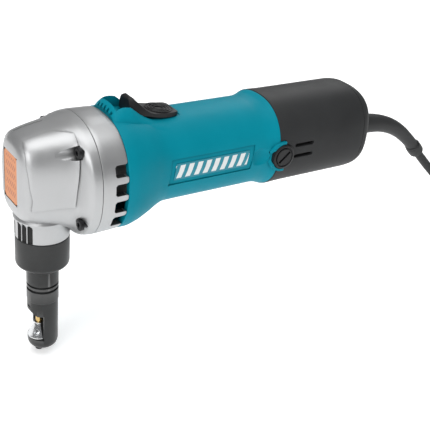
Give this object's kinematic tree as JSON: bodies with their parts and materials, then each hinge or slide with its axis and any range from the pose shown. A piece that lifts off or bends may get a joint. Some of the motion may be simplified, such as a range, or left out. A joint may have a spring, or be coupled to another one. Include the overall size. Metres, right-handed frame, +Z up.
{
  "type": "electric nibbler",
  "caption": "Hand-held electric nibbler for sheet metal: alloy gear head with a vertical punch and die column, motor barrel grip, top slide switch and a mains cord.",
  "frame": {"origin": "centre of the hand grip, on the motor axis, half way along the motor barrel", "axes": "+X along the motor axis towards the cord, +Z up, away from the punch and die, +Y to the right hand side seen from the cord end; the plane Y = 0 is the symmetry plane"},
  "size_m": [0.5646, 0.1093, 0.1732],
  "materials": {
    "cast_alloy": "satin cast",
    "teal_plastic": "satin",
    "black_plastic": "satin",
    "dark_steel": "phosphated",
    "black_steel": "black oxide",
    "bright_steel": "ground",
    "gold_steel": "gold-toned coating on tool steel",
    "rubber": "matt",
    "brass": "plain",
    "carbon": "pressed carbon",
    "copper": "turned copper",
    "laminated": "laminated steel",
    "orange_plate": "printed",
    "white_plate": "printed",
    "white_plastic": "moulded"
  },
  "bodies": {
    "housing": {"gear_housing": "cast_alloy", "gear_housing_cover": "cast_alloy", "front_badge": "orange_plate", "motor_housing": "teal_plastic", "name_strip_left": "white_plate", "name_strip_right": "white_plate", "rear_cover": "black_plastic", "rear_cover_screw_1": "black_steel", "rear_cover_screw_2": "black_steel", "brush_holder_left": "brass", "brush_holder_right": "brass", "carbon_brush_left": "carbon", "carbon_brush_right": "carbon", "brush_spring_left": "bright_steel", "brush_spring_right": "bright_steel", "brush_cap_left": "black_plastic", "brush_cap_right": "black_plastic", "switch_body": "black_plastic", "front_bearing": "bright_steel", "rear_bearing": "bright_steel", "rear_bearing_holder": "black_plastic", "field_stator": "laminated", "stator_screw_1": "black_steel", "stator_screw_2": "black_steel", "baffle_plate": "black_plastic", "crank_front_bearing": "bright_steel", "crank_rear_bearing": "bright_steel", "guide_sleeve": "dark_steel", "cord_guard": "rubber", "power_cord": "rubber", "cord_coil": "rubber", "plug_body": "rubber", "plug_blade_1": "brass", "plug_blade_2": "brass", "housing_screw_upper_right": "black_steel", "housing_screw_upper_left": "black_steel", "housing_screw_lower_right": "black_steel", "housing_screw_lower_left": "black_steel"},
    "armature": {"armature_shaft": "bright_steel", "armature_core": "laminated", "commutator": "copper", "cooling_fan": "white_plastic"},
    "crank": {"crankshaft": "bright_steel", "crank_gear": "dark_steel"},
    "rod": {"connecting_rod": "bright_steel"},
    "die_head": {"die_holder": "dark_steel", "die": "bright_steel", "die_bolt": "black_steel"},
    "punch_unit": {"plunger": "dark_steel", "punch": "gold_steel", "punch_screw": "black_steel"},
    "nut": {"lock_nut": "dark_steel"},
    "switch": {"switch_knob": "black_plastic", "switch_rod": "black_plastic"}
  },
  "joints": [
    {"name": "armature_spin", "type": "hinge", "parent": "housing", "child": "armature", "pos_m": [0, 0, 0], "axis": [1, 0, 0], "continuous": true},
    {"name": "crank_spin", "type": "hinge", "parent": "housing", "child": "crank", "pos_m": [-0.105, 0, -0.0164], "axis": [1, 0, 0], "continuous": true},
    {"name": "rod_swing", "type": "hinge", "parent": "crank", "child": "rod", "pos_m": [-0.105, 0, -0.0186], "axis": [1, 0, 0], "continuous": true},
    {"name": "die_holder_turn", "type": "hinge", "parent": "housing", "child": "die_head", "pos_m": [-0.105, 0, -0.09], "axis": [0, 0, 1], "continuous": true},
    {"name": "punch_stroke", "type": "slide", "parent": "die_head", "child": "punch_unit", "axis": [0, 0, 1], "range_m": [0, 0.0044]},
    {"name": "lock_nut_turn", "type": "hinge", "parent": "housing", "child": "nut", "pos_m": [-0.105, 0, -0.05], "axis": [0, 0, 1], "range_deg": [-180, 0]},
    {"name": "switch_slide", "type": "slide", "parent": "housing", "child": "switch", "axis": [1, 0, 0], "range_m": [-0.0055, 0]}
  ],
  "couplings": [
    {"joint": "crank_spin", "follows": "armature_spin", "ratio": -0.13889},
    {"joint": "rod_swing", "follows": "armature_spin", "ratio": 0.13889}
  ]
}
